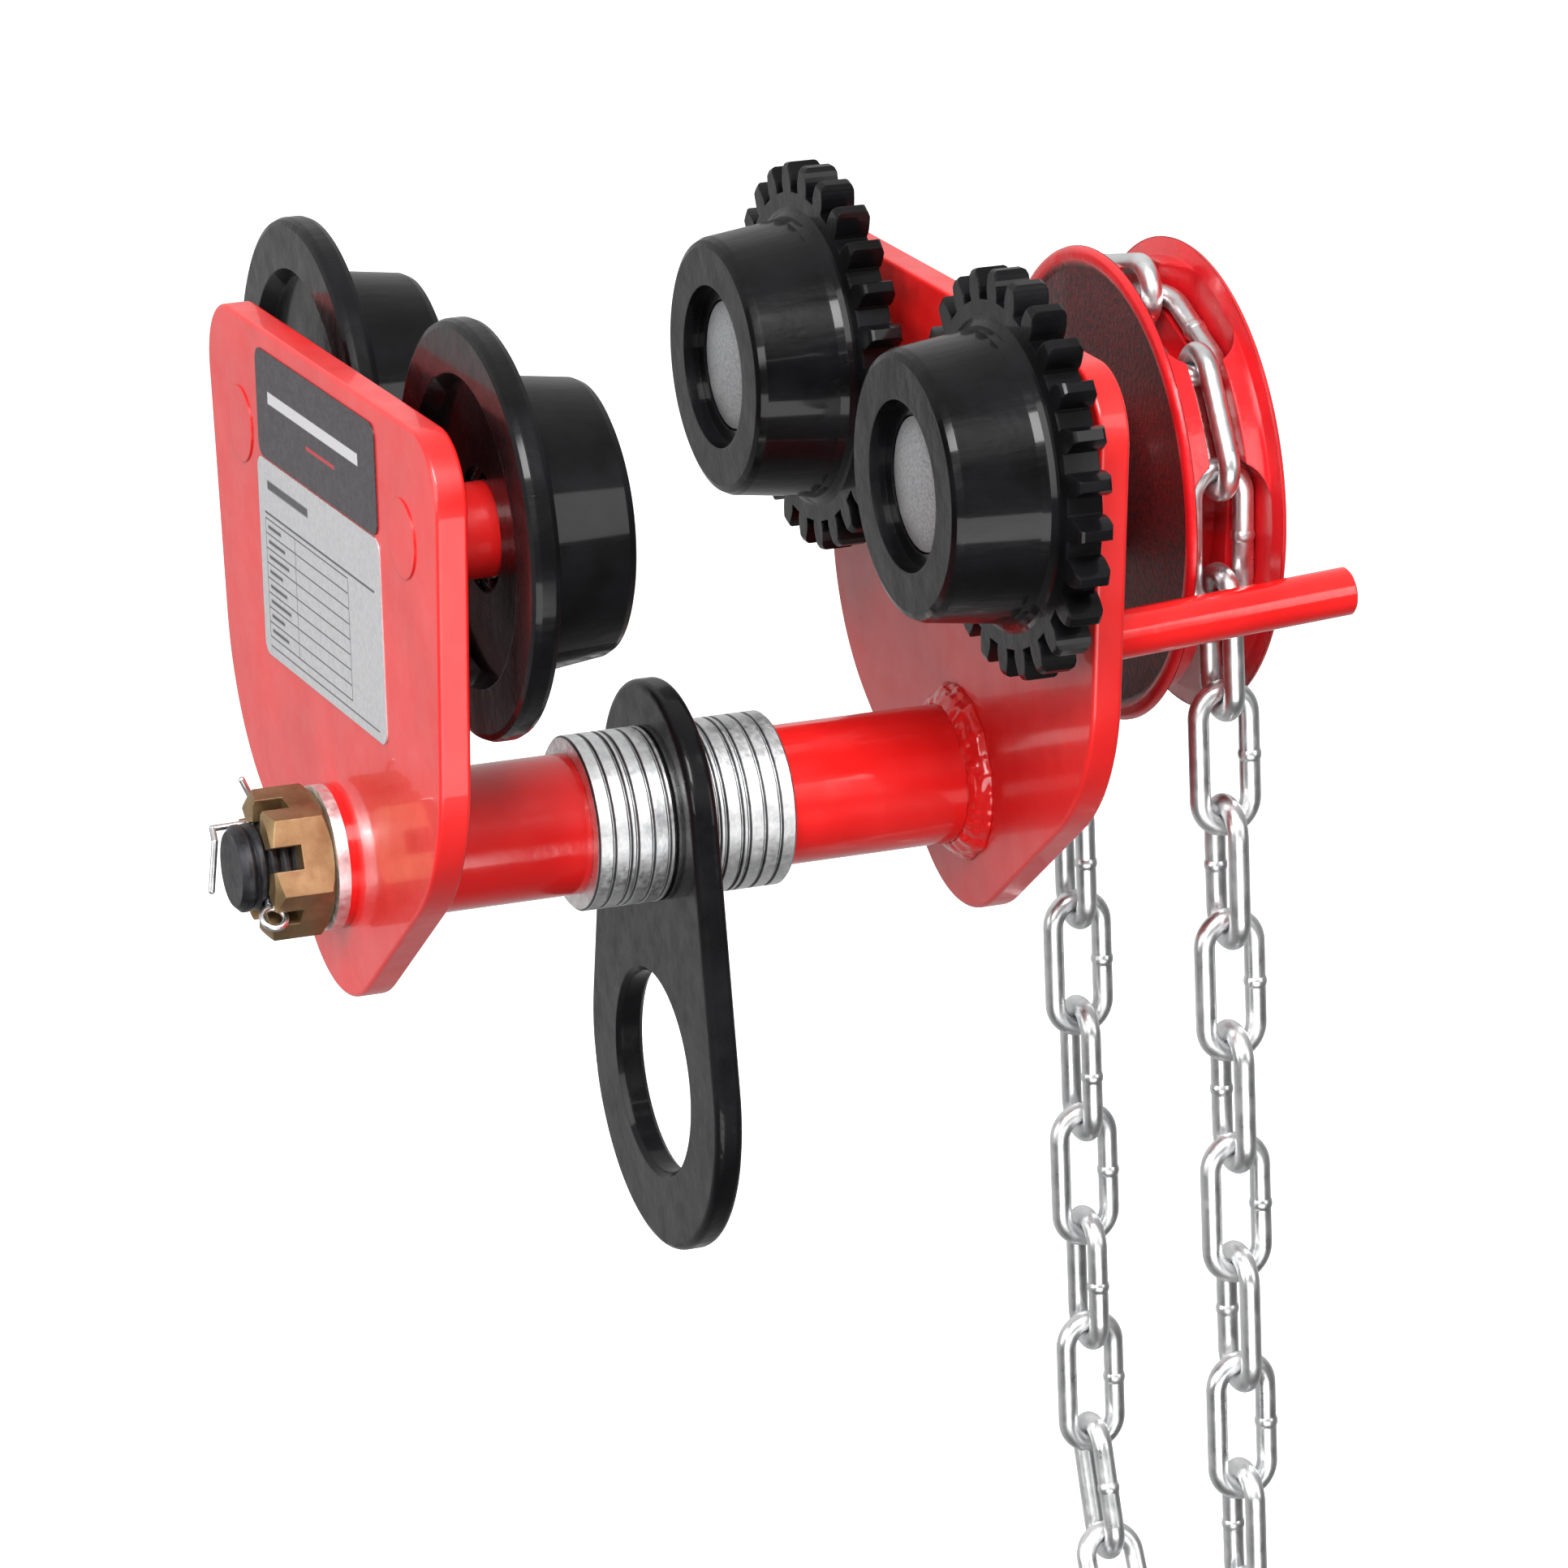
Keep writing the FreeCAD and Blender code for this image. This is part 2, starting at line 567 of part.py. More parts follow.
def axle_circlip(at, y):
    """The ring that keeps the bearings on the axle, open at the bottom."""
    ring = turned([(at(CIRCLIP_S), SEAT_R - 0.45), (at(CIRCLIP_S), SEAT_R + 1.7),
                   (at(BEARING_A), SEAT_R + 1.7), (at(BEARING_A), SEAT_R - 0.45)], y, WHEEL_Z)
    x0, x1 = sorted((at(CIRCLIP_S - 1), at(BEARING_A + 1)))
    return ring.cut(box(x0, x1, y - 3.5, y + 3.5, WHEEL_Z - 20, WHEEL_Z))


def dust_cap(at, y):
    """A thin domed cap pressed into the wheel's mouth."""
    steps = 6
    rise = 1.9
    wall = 0.7
    rim_s = 3.9
    outer, inner = [], []
    for k in range(steps + 1):
        r = CAP_R * k / steps
        dome = rise * (1 - (r / CAP_R) ** 2)
        outer.append((at(rim_s - dome), r))
        inner.append((at(rim_s - dome + wall), min(r, CAP_R - wall)))
    skirt = [(at(CIRCLIP_S - 0.1), CAP_R), (at(CIRCLIP_S - 0.1), CAP_R - wall)]
    return turned(outer + skirt + inner[::-1], y, WHEEL_Z)


# ---- pinion shaft and hand wheel ----
def pinion_shaft():
    """Pinion and shaft in one piece: pinion, journal, key seat, ring groove."""
    pinion = toothed_disc(PINION_TEETH, PINION_X0, PINION_X1, 0, SHAFT_Z, PINION_PHASE, THINNING)
    tip = MODULE * PINION_TEETH / 2 + ADDENDUM
    blank = turned([(PINION_X0, 0), (PINION_X0, tip - 1), (PINION_X0 + 1, tip + 0.1),
                    (PINION_X1 - 1, tip + 0.1), (PINION_X1, tip - 1), (PINION_X1, 0)], 0, SHAFT_Z)
    groove_x = HUB_X1 + 2.2
    seat = SHAFT_SEAT_R - 0.02
    shaft = turned([(PINION_X1 - 1, 0), (PINION_X1 - 1, JOURNAL_R), (HUB_X0, JOURNAL_R), (HUB_X0, seat),
                    (groove_x, seat), (groove_x, seat - 0.6), (groove_x + 1.3, seat - 0.6),
                    (groove_x + 1.3, seat), (SHAFT_END_X - 0.8, seat), (SHAFT_END_X, seat - 0.8),
                    (SHAFT_END_X, 0)], 0, SHAFT_Z)
    return pinion.common(blank).fuse(shaft).cut(key_seat(0.02)).removeSplitter()


def key_seat(gap):
    """The space of the hand wheel's key, on top of the shaft, with a gap all round."""
    x0 = (HUB_X0 + HUB_X1 - KEY_LEN) / 2
    return box(x0 - gap, x0 + KEY_LEN + gap, -KEY_W / 2 - gap, KEY_W / 2 + gap,
               SHAFT_Z + SHAFT_SEAT_R - KEY_W / 2 - gap, SHAFT_Z + SHAFT_SEAT_R + KEY_W / 2 + gap)


def shaft_bush():
    """Flanged bronze bush between the shaft and its boss."""
    flange_x = RIGHT_INNER - BUSH_FLANGE_T
    bore = JOURNAL_R + 0.05
    return turned([(flange_x, bore), (flange_x, BUSH_FLANGE_R), (RIGHT_INNER, BUSH_FLANGE_R),
                   (RIGHT_INNER, BUSH_R - 0.01), (BOSS_X1, BUSH_R - 0.01), (BOSS_X1, bore)], 0, SHAFT_Z)


def shaft_boss():
    """The boss that is welded to the right plate and holds the bush."""
    soft = 1.5
    return turned([(RIGHT_OUTER, BUSH_R), (RIGHT_OUTER, BOSS_R + 3.5), (RIGHT_OUTER + 1.0, BOSS_R + 1.2),
                   (RIGHT_OUTER + 3.5, BOSS_R), (BOSS_X1 - soft, BOSS_R), (BOSS_X1, BOSS_R - soft),
                   (BOSS_X1, BUSH_R)], 0, SHAFT_Z)


def hand_wheel():
    """Pocket wheel for the hand chain: two flanges and, between them, link-shaped pockets and a slot."""
    c = CHAIN_X
    side = [(RIM_HALF - WEB_DEPTH, WEB_R - 1.0), (RIM_HALF - 0.3, WEB_R), (RIM_HALF, WEB_R + 0.8)]
    for angle in (0, 22.5, 45, 67.5, 90):
        a = math.radians(angle)
        side.append((RIM_HALF - RIM_ROUND * (1 - math.cos(a)), RIM_R - RIM_ROUND * (1 - math.sin(a))))
    left = [(c - h, r) for h, r in side]
    right = [(c + h, r) for h, r in side[::-1]]
    groove = [(c - GROOVE_HALF_RIM, RIM_R), (c - POCKET_HALF_W, LUG_R), (c + POCKET_HALF_W, LUG_R),
              (c + GROOVE_HALF_RIM, RIM_R)]
    web = RIM_HALF - WEB_DEPTH
    hub_left = [(HUB_X0, SHAFT_SEAT_R), (HUB_X0, HUB_R - 1), (HUB_X0 + 1, HUB_R), (c - web, HUB_R + 1)]
    hub_right = [(c + web, HUB_R + 1), (HUB_X1 - 1, HUB_R), (HUB_X1, HUB_R - 1), (HUB_X1, SHAFT_SEAT_R)]
    wheel = turned(hub_left + left + groove + right + hub_right, 0, SHAFT_Z)
    for k in range(POCKETS):
        pocket = pocket_space()
        pocket.translate(Vector(c, 0, SHAFT_Z))
        wheel = wheel.cut(turn_x(pocket, 180 - CHAIN_PHASE + 360 / POCKETS * k, 0, SHAFT_Z))
    slot = tube_x(RIM_R + 1, SLOT_R, c - SLOT_HALF, c + SLOT_HALF, 0, SHAFT_Z)
    return wheel.cut(slot).cut(key_seat(0.02)).removeSplitter()


def pocket_space():
    """The room for one flat link, with round ends, from the pocket floor outwards along Y."""
    reach = POCKET_HALF_L - POCKET_HALF_W
    height = RIM_R - POCKET_FLOOR_R
    middle = box(-POCKET_HALF_W, POCKET_HALF_W, POCKET_FLOOR_R, RIM_R, -reach, reach)
    ends = [Part.makeCylinder(POCKET_HALF_W, height, Vector(0, POCKET_FLOOR_R, z), Y_AXIS)
            for z in (-reach, reach)]
    return middle.fuse(ends).removeSplitter()


def wheel_washer():
    return tube_x(14.0, SHAFT_SEAT_R + 0.1, HUB_X1, HUB_X1 + 2.2, 0, SHAFT_Z)


def shaft_circlip():
    x0 = HUB_X1 + 2.2
    ring = tube_x(SHAFT_SEAT_R + 2.0, SHAFT_SEAT_R - 0.55, x0, x0 + 1.2, 0, SHAFT_Z)
    return ring.cut(box(x0 - 1, x0 + 3, -3, 3, SHAFT_Z - 20, SHAFT_Z))


def guide_rod(side):
    """A round rod welded to the right plate beside the hand wheel, rising a little outwards."""
    start = Vector(RIGHT_OUTER, side * ROD_Y, ROD_Z)
    way = Vector(ROD_END_X - RIGHT_OUTER, 0, ROD_RISE)
    rod = Part.makeCylinder(ROD_R, way.Length + 2, start - way * (2 / way.Length), way)
    rod = rod.makeChamfer(0.5, [e for e in rod.Edges if e.BoundBox.XMin > ROD_END_X - 2])
    weld = Part.makeCone(ROD_R + 3, ROD_R + 0.05, 3, start, X_AXIS)
    y = side * ROD_Y
    return rod.fuse(weld).common(box(RIGHT_OUTER, ROD_END_X + 10, y - 20, y + 20, ROD_Z - 20, ROD_Z + 25))


# ---- hand chain ----
def link(upright):
    """One welded link along Z about the origin, its width along X, or along Y if upright."""
    solid = None
    for side in (1, -1):
        leg = Part.makeCylinder(WIRE_R, 2 * ARC_CENTRE, Vector(side * LEG_OFFSET, 0, -ARC_CENTRE), Z_AXIS)
        bend = Part.makeTorus(LEG_OFFSET, WIRE_R, Vector(0, 0, 0), Y_AXIS)
        low = -side * ARC_CENTRE
        half = box(-10, 10, -4, 4, min(0, -side * 10), max(0, -side * 10))
        bend = bend.common(half)
        bend.translate(Vector(0, 0, low))
        piece = leg.fuse(bend)
        solid = piece if solid is None else solid.fuse(piece)
    solid = solid.fuse(Part.makeSphere(WELD_BUMP_R, Vector(LEG_OFFSET, 0, 0))).removeSplitter()
    if upright:
        solid.rotate(Vector(0, 0, 0), Z_AXIS, 90)
    return solid


def pocket_place(angle, radius):
    """Centre (y, z) and direction of a link in the wheel, at an angle from -Y towards +Z."""
    a = math.radians(angle)
    centre = (-radius * math.cos(a), SHAFT_Z + radius * math.sin(a))
    return centre, (-math.sin(a), -math.cos(a))


def next_place(centre, way, next_way, upright):
    """Centre of the link after one at centre; upright tells whether this one is upright."""
    across = (way[0] + next_way[0], way[1] + next_way[1])
    size = math.hypot(*across)
    own, other = (ARC_CENTRE, APEX) if upright else (APEX, ARC_CENTRE)
    return tuple(centre[i] + own * way[i] + LINK_SLACK * across[i] / size + other * next_way[i]
                 for i in (0, 1))


def hanging_places():
    """Centre, direction and whether it is upright for each hanging link: front, loop, then rear."""
    lean = math.radians(FRONT_LEAN)
    ways = [(-math.sin(lean), -math.cos(lean))] * FRONT_LINKS
    ways += [loop_way(k) for k in range(LOOP_LINKS)]
    places = []
    centre = (-FRONT_STRAND, SHAFT_Z + FRONT_LEVEL)
    for k, way in enumerate(ways):
        upright = k % 2 == 0
        places.append((centre, way, upright))
        ahead = ways[k + 1] if k + 1 < len(ways) else (0.0, 1.0)
        centre = next_place(centre, way, ahead, upright)
    for k in range(REAR_LINKS):
        height = SHAFT_Z + REAR_LEVEL - (REAR_LINKS - 1 - k) * LINK_PITCH
        places.append(((REAR_STRAND, height), (0.0, 1.0), k % 2 == 1))
    print("hand chain closes within", round(centre[0] - places[-REAR_LINKS][0][0], 3),
          round(centre[1] - places[-REAR_LINKS][0][1], 3))
    return places


def seated_places():
    """The same for the links in the wheel, from rear to front, and the one that has just left it."""
    places = []
    for k in range(SEATED_LINKS):
        upright = k % 2 == 0
        centre, way = pocket_place(180 + CHAIN_PHASE - 36 * k, UPRIGHT_PITCH_R if upright else FLAT_PITCH_R)
        places.append((centre, way, upright))
    places.append(((-LEAVING_STRAND, SHAFT_Z + LEAVING_LEVEL), (0.0, -1.0), False))
    return places


def loop_way(k):
    """Direction of a link in the loop at the bottom, which hangs as a catenary."""
    reach = (k - (LOOP_LINKS - 1) / 2) * LINK_PITCH + LOOP_SHIFT
    angle = math.atan(reach / LOOP_CATENARY)
    return math.cos(angle), math.sin(angle)


def placed_link(centre, way, upright):
    """One link in the wheel's middle plane."""
    piece = link(upright)
    piece.rotate(Vector(0, 0, 0), X_AXIS, math.degrees(math.atan2(way[1], way[0])) + 90)
    piece.translate(Vector(CHAIN_X, *centre))
    return piece


def hand_chain():
    """All links; the hanging ones are turned outwards a little as a whole."""
    links = [placed_link(*place) for place in hanging_places()]
    for piece in links:
        piece.rotate(Vector(CHAIN_X, 0, SHAFT_Z), Y_AXIS, -SIDE_LEAN)
        piece.rotate(Vector(CHAIN_X, 0, SHAFT_Z), Z_AXIS, STRAND_YAW)
        piece.translate(X_AXIS * STRAND_SHIFT)
    seated = [placed_link(*place) for place in seated_places()]
    for piece in seated:
        piece.translate(X_AXIS * SEATED_SHIFT)
    return links + seated


# ---- labels ----
def label(corners):
    """A thin blank label on the left plate's outer face."""
    y0, z0, y1, z1 = corners
    sheet = box(LEFT_OUTER - LABEL_T, LEFT_OUTER, y0, y1, z0, z1)
    upright_edges = [e for e in sheet.Edges if abs(e.BoundBox.XLength - LABEL_T) < 1e-6]
    return sheet.makeFillet(LABEL_CORNER_R, upright_edges)


# ---- all nodes ----
def tilted(shapes):
    """The plain side's solids, turned about the load bolt by its tilt."""
    return [turn_x(shape, LEFT_TILT, 0, BOLT_Z) for shape in shapes]


def build_frame():
    """Side plates, tubes, bolt, washers, load plate and labels."""
    holes = [(SHANK_R, WHEEL_Y, WHEEL_Z), (SHANK_R, -WHEEL_Y, WHEEL_Z), (TUBE_R, 0, BOLT_Z)]
    left_packs, left_end = washer_pack(LEFT_PACK, -1)
    right_packs, right_end = washer_pack(RIGHT_PACK, 1)
    for kind in ("thick", "thin"):
        write(f"left_{kind}_washers", *left_packs[kind])
        write(f"right_{kind}_washers", *right_packs[kind])

    write("left_side_plate", *tilted([side_plate(LEFT_INNER, LEFT_OUTER, holes)]))
    write("left_spacer_tube", *tilted([spacer_tube(LEFT_OUTER - TUBE_PROUD, left_end)]))
    write("left_tube_weld", *tilted([tube_weld(LEFT_INNER, 1)]))
    write("upper_label", *tilted([label(UPPER_LABEL)]))
    write("rating_label", *tilted([label(RATING_LABEL)]))
    write("right_side_plate", side_plate(RIGHT_INNER, RIGHT_OUTER, holes + [(BUSH_R, 0, SHAFT_Z)]))
    write("right_spacer_tube", spacer_tube(right_end, RIGHT_OUTER + TUBE_PROUD))
    write("right_tube_weld", tube_weld(RIGHT_INNER, -1))

    write("load_bolt", load_bolt())
    write("castle_nut", castle_nut())
    write("cotter_pin", *cotter_pin())
    for name, x0 in (("nut_washer", LEFT_OUTER - TUBE_PROUD - END_WASHER_T),
                     ("bolt_head_washer", RIGHT_OUTER + TUBE_PROUD)):
        write(name, tube_x(END_WASHER_R, ADJUST_BORE_R, x0, x0 + END_WASHER_T, 0, BOLT_Z))
    write("hanger_plate", hanger_plate())


def build_wheels():
    """The four wheels with their bearings, axles, rings and caps."""
    sides = (("left", -1, LEFT_TREAD_X, LEFT_INNER, LEFT_OUTER),
             ("right", 1, RIGHT_TREAD_X, RIGHT_INNER, RIGHT_OUTER))
    for side_name, side, start, inner, outer in sides:
        at = along(side, start)
        place = tilted if side < 0 else list
        races, rings = [], []
        for end_name, y in (("front", -WHEEL_Y), ("back", WHEEL_Y)):
            name = f"{end_name}_{side_name}"
            if side < 0:
                write(f"{name}_wheel", *place([plain_wheel(y)]))
            else:
                write(f"{name}_geared_wheel", *place([geared_wheel(y)]))
            write(f"{name}_bearings", *place(outer_bearings(at, y)))
            write(f"{name}_axle", *place([axle_pin(at, y, inner, outer)]))
            write(f"{name}_bore_circlip", *place([bore_circlip(at, y)]))
            write(f"{name}_dust_cap", *place([dust_cap(at, y)]))
            races += inner_bearings(at, y)
            rings.append(axle_circlip(at, y))
        write(f"{side_name}_bearing_inner_races", *place(races))
        write(f"{side_name}_axle_circlips", *place(rings))


def build_drive():
    """Pinion shaft, hand wheel, guide rods and hand chain."""
    write("pinion_shaft", pinion_shaft())
    write("shaft_bush", shaft_bush())
    write("shaft_boss", shaft_boss())
    write("hand_wheel", hand_wheel())
    write("hand_wheel_key", key_seat(0.0))
    write("hand_wheel_washer", wheel_washer())
    write("shaft_circlip", shaft_circlip())
    write("front_guide_rod", guide_rod(-1))
    write("back_guide_rod", guide_rod(1))
    write("hand_chain", *hand_chain())


build_frame()
build_wheels()
build_drive()
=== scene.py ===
import bmesh
import bpy
import json
import math
from mathutils import Matrix, Vector, noise


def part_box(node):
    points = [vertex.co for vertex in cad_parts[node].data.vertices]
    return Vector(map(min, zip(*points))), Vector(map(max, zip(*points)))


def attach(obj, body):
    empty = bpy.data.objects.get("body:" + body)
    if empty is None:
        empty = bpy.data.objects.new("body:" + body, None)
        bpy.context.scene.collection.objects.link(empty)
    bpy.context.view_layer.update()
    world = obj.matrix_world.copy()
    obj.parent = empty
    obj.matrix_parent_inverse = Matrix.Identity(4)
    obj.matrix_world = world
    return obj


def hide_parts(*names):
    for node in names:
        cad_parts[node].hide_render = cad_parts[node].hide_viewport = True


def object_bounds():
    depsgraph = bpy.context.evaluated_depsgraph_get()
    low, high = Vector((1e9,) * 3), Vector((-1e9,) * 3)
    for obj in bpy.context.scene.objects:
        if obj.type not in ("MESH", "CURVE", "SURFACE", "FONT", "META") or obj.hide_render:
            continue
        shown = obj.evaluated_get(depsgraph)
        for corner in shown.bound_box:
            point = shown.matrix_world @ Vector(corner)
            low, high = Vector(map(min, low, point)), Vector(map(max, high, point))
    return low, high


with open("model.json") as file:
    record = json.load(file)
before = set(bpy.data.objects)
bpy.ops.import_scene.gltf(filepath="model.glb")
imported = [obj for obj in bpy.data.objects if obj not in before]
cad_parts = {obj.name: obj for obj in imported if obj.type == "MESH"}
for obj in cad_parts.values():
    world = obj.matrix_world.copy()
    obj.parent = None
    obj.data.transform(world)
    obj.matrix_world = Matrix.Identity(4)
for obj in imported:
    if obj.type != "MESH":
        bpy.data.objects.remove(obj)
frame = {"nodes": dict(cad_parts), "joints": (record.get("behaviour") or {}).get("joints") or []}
CAD_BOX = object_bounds()
nodes = frame["nodes"]
joint_at = {j["name"]: Vector(j["pos_m"]) for j in frame["joints"]}
MM = 0.001
ROD_R = 5.0 * MM
BOSS_R = 17.5 * MM

SHAFT = joint_at["hand_wheel_spin"]
BOLT = joint_at["load_plate_swing"]
TILT = math.radians(-1.2)    # the plain side's turn about the load bolt
# each label's low and high corner in (y, z), before that turn
LABELS = {"upper_label": ((-0.0380, 0.1326), (0.0400, 0.1554)),
          "rating_label": ((-0.0385, 0.0900), (0.0415, 0.1322))}
WASHER_SEAM_R = 0.01805      # the middle of the adjusting washers' chamfers, where a thin ring of painted shade darkens the zinc
WEB_EDGE_R = 0.0465          # the hand wheel's web ends and its rim begins
WEB_FACE_X = 0.1001          # the web's inner face lies below this, the groove above it


# ---- shader building ----
class Shader:
    """A material under construction: a Principled surface, and short calls that add nodes to it."""

    def __init__(self, name, **sockets):
        self.material = bpy.data.materials.new(name)
        self.material.use_nodes = True
        self.tree = self.material.node_tree
        self.surface = self.tree.nodes["Principled BSDF"]
        self.coords = self.tree.nodes.new("ShaderNodeTexCoord").outputs["Object"]
        for key, value in sockets.items():
            self.surface.inputs[key.replace("_", " ")].default_value = value

    def node(self, kind, inputs=None, **settings):
        made = self.tree.nodes.new("ShaderNode" + kind)
        for key, value in settings.items():
            setattr(made, key, value)
        for key, value in (inputs or {}).items():
            if isinstance(value, bpy.types.NodeSocket):
                self.tree.links.new(value, made.inputs[key])
            else:
                made.inputs[key].default_value = value
        return made

    def noise(self, scale, detail=3.0, stretch=None, rough=0.5):
        """A noise value about the row frame; stretch scales the coordinates first."""
        at = self.coords
        if stretch:
            at = self.node("Mapping", {"Vector": at, "Scale": stretch}).outputs[0]
        made = self.node("TexNoise", {"Vector": at, "Scale": scale, "Detail": detail, "Roughness": rough})
        return made.outputs["Fac"]

    def math(self, operation, a, b=0.0):
        return self.node("Math", {0: a, 1: b}, operation=operation).outputs[0]

    def spread(self, value, low, high, to_low=0.0, to_high=1.0):
        """The value stretched from one range to another, and clamped."""
        made = self.node("MapRange", {"Value": value, "From Min": low, "From Max": high,
                                      "To Min": to_low, "To Max": to_high})
        return made.outputs[0]

    def mix(self, fac, a, b):
        made = self.node("Mix", {"Factor": fac}, data_type="RGBA")
        for index, colour in ((6, a), (7, b)):
            if isinstance(colour, bpy.types.NodeSocket):
                self.tree.links.new(colour, made.inputs[index])
            else:
                made.inputs[index].default_value = (*colour, 1.0)
        return made.outputs[2]

    def radius_from(self, centre):
        """The distance from the line along X through centre, in metres."""
        moved = self.node("VectorMath", {0: self.coords, 1: tuple(centre)}, operation="SUBTRACT").outputs[0]
        flat = self.node("VectorMath", {0: moved, 1: (0, 1, 1)}, operation="MULTIPLY").outputs[0]
        return self.node("VectorMath", {0: flat}, operation="LENGTH").outputs["Value"]

    def colour(self, socket):
        self.tree.links.new(socket, self.surface.inputs["Base Color"])

    def roughness(self, socket):
        self.tree.links.new(socket, self.surface.inputs["Roughness"])

    def bump(self, *layers, edge=0.0):
        """Stacked bumps, each (height socket, strength, depth in metres), over softened edges."""
        normal = None
        if edge:
            normal = self.node("Bevel", {"Radius": edge}, samples=4).outputs[0]
        for height, strength, depth in layers:
            inputs = {"Height": height, "Strength": strength, "Distance": depth}
            if normal is not None:
                inputs["Normal"] = normal
            normal = self.node("Bump", inputs).outputs[0]
        self.tree.links.new(normal, self.surface.inputs["Normal"])
        return self.material


def red_paint(name, sag, edge, rough):
    """Thick red enamel with orange peel and slow waves."""
    s = Shader(name, Coat_Weight=0.4, Coat_Roughness=0.05, IOR=1.5)
    s.colour(s.mix(s.spread(s.noise(38, 4), 0.3, 0.7), (0.60, 0.007, 0.007), (0.74, 0.014, 0.013)))
    s.roughness(s.spread(s.noise(120, 4), 0.3, 0.75, rough, rough + 0.14))
    return s.bump((s.noise(620, 2), 0.3, 0.00008), (s.noise(75, 2), sag, 0.0005), edge=edge)


def red_casting():
    """The hand wheel's paint: rough casting under enamel, red rims, and painted shade in the web recess,
    near black in specks.
    """
    s = Shader("hand wheel enamel", Coat_Weight=0.22, Coat_Roughness=0.08, IOR=1.5)
    radius = s.radius_from(SHAFT)
    x = s.node("SeparateXYZ", {0: s.coords}).outputs[0]
    inner_face = s.spread(x, WEB_FACE_X + 0.0002, WEB_FACE_X - 0.0002)
    web = s.math("MULTIPLY", s.spread(radius, WEB_EDGE_R + 0.0007, WEB_EDGE_R - 0.0007), inner_face)
    speck = s.spread(s.noise(700, 5, rough=0.8), 0.53, 0.44)
    cloud = s.spread(s.noise(48, 4), 0.25, 0.50, 0.55, 1.0)
    # painted shade: inside the web recess the colour darkens to deep red (shaded), and the cast grain there
    # darkens to near black in cloudy specks (dark)
    dark = s.math("MULTIPLY", s.math("MULTIPLY", web, speck), cloud)
    base = s.mix(s.spread(s.noise(60, 4), 0.3, 0.7), (0.50, 0.006, 0.010), (0.66, 0.012, 0.016))
    shaded = s.mix(web, base, (0.09, 0.005, 0.006))
    s.colour(s.mix(dark, shaded, (0.010, 0.004, 0.005)))
    s.roughness(s.spread(web, 0.0, 1.0, 0.22, 0.45))
    grain = s.math("MULTIPLY", s.noise(800, 4, rough=0.7), s.math("ADD", web, 0.12))
    return s.bump((grain, 0.9, 0.0008), (s.noise(180, 3), 0.5, 0.0004), edge=0.0007)


def black_wheel(name, centre):
    """Glossy black over a turned casting: fine rings round the axle, drawn runs along the tread."""
    s = Shader(name, Coat_Weight=0.32, Coat_Roughness=0.08, IOR=1.45, Specular_IOR_Level=0.1)
    radius = s.radius_from(centre)
    rings = s.math("SINE", s.math("MULTIPLY", radius, 7000.0))
    runs = s.noise(150, 4, stretch=(0.12, 1.0, 1.0))
    s.colour(s.mix(s.spread(s.noise(90, 4), 0.35, 0.7), (0.002, 0.002, 0.0023), (0.006, 0.006, 0.007)))
    s.roughness(s.spread(runs, 0.3, 0.7, 0.24, 0.42))
    return s.bump((rings, 0.10, 0.00004), (s.noise(520, 3), 0.45, 0.00012), (runs, 0.6, 0.0006), edge=0.0007)


def black_enamel():
    """The load plate's black enamel, with slow waves."""
    s = Shader("load plate enamel", Coat_Weight=0.2, Coat_Roughness=0.06, IOR=1.45, Specular_IOR_Level=0.12)
    s.colour(s.mix(s.spread(s.noise(60, 3), 0.3, 0.7), (0.003, 0.003, 0.0035), (0.007, 0.007, 0.008)))
    s.roughness(s.spread(s.noise(200, 4), 0.35, 0.7, 0.22, 0.40))
    return s.bump((s.noise(700, 2), 0.25, 0.00006), (s.noise(85, 3), 0.55, 0.0006), edge=0.0009)


def zinc(name, low, high, rough=(0.25, 0.5), grain=240, bump=0.3, edge=0.0003, shade_seam_r=None):
    """Bright zinc plate with clouded colour and fine pitting; shade_seam_r is a radius about the bolt where
    a thin dark ring is painted as shade between stacked washers.
    """
    s = Shader(name, Metallic=1.0, IOR=1.5)
    shade = s.mix(s.spread(s.noise(grain, 5, rough=0.65), 0.3, 0.7), low, high)
    if shade_seam_r:
        off = s.math("ABSOLUTE", s.math("SUBTRACT", s.radius_from(BOLT), shade_seam_r))
        # painted shade: a thin near-black ring where the washers' chamfers meet
        shade = s.mix(s.spread(off, 0.00012, 0.00022, 0.9, 0.0), shade, (0.06, 0.06, 0.065))
    s.colour(shade)
    s.roughness(s.spread(s.noise(grain * 1.7, 4), 0.3, 0.7, *rough))
    return s.bump((s.noise(grain * 3, 4), bump, 0.0001), edge=edge)


def plain_metal(name, colour_a, colour_b, metallic, rough, grain=300, bump=0.2):
    """Bare or blackened metal, slightly clouded, with a fine grain."""
    s = Shader(name, Metallic=metallic, IOR=1.5)
    s.colour(s.mix(s.spread(s.noise(grain, 4), 0.3, 0.7), colour_a, colour_b))
    s.roughness(s.spread(s.noise(grain * 2, 3), 0.3, 0.7, rough, rough + 0.15))
    return s.bump((s.noise(grain * 3, 3), bump, 0.00008), edge=0.0003)


